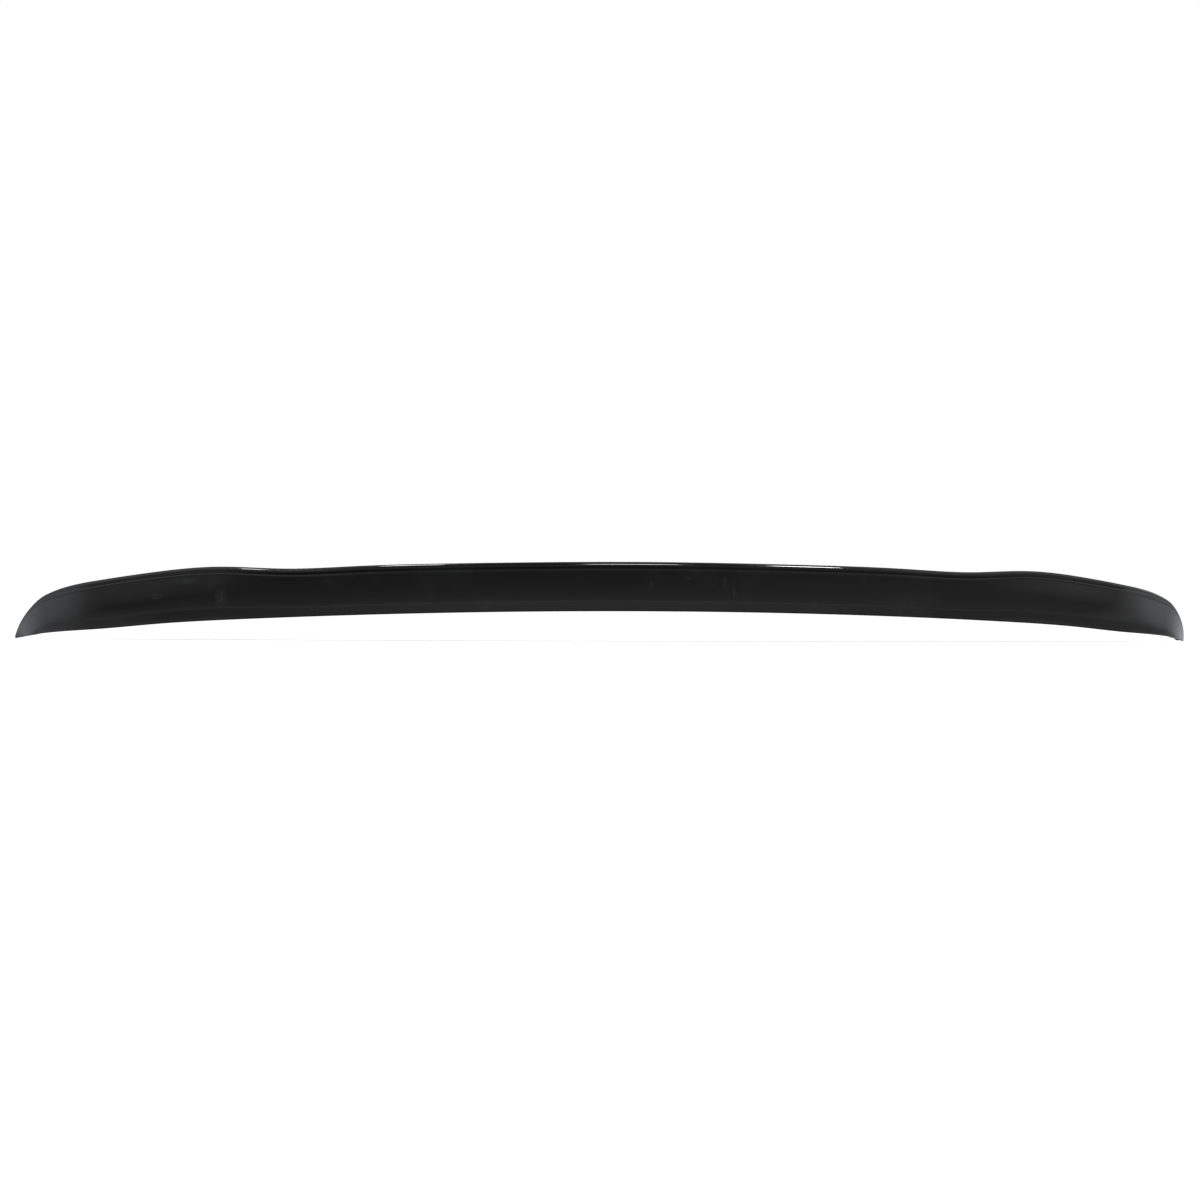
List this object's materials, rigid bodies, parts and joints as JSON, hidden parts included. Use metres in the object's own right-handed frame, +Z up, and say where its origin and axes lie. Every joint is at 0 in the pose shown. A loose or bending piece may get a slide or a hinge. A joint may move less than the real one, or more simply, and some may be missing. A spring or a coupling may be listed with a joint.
{
  "type": "trunk spoiler",
  "caption": "Low gloss-black lip spoiler for a car's trunk lid: a curved, open-bottomed moulding with a round trailing bead, wing crests and wrapped ends.",
  "frame": {"origin": "middle of the front bonding land, where it lies on the trunk lid, on the car's mid-plane", "axes": "+X to the right seen from behind the car, +Y towards the front of the car, +Z up"},
  "size_m": [1.24, 0.1676, 0.0801],
  "materials": {
    "gloss_black_abs": "injection-moulded ABS, polished gloss black outside, plain inside"
  },
  "bodies": {
    "root": {"spoiler_shell": "gloss_black_abs"}
  },
  "joints": []
}
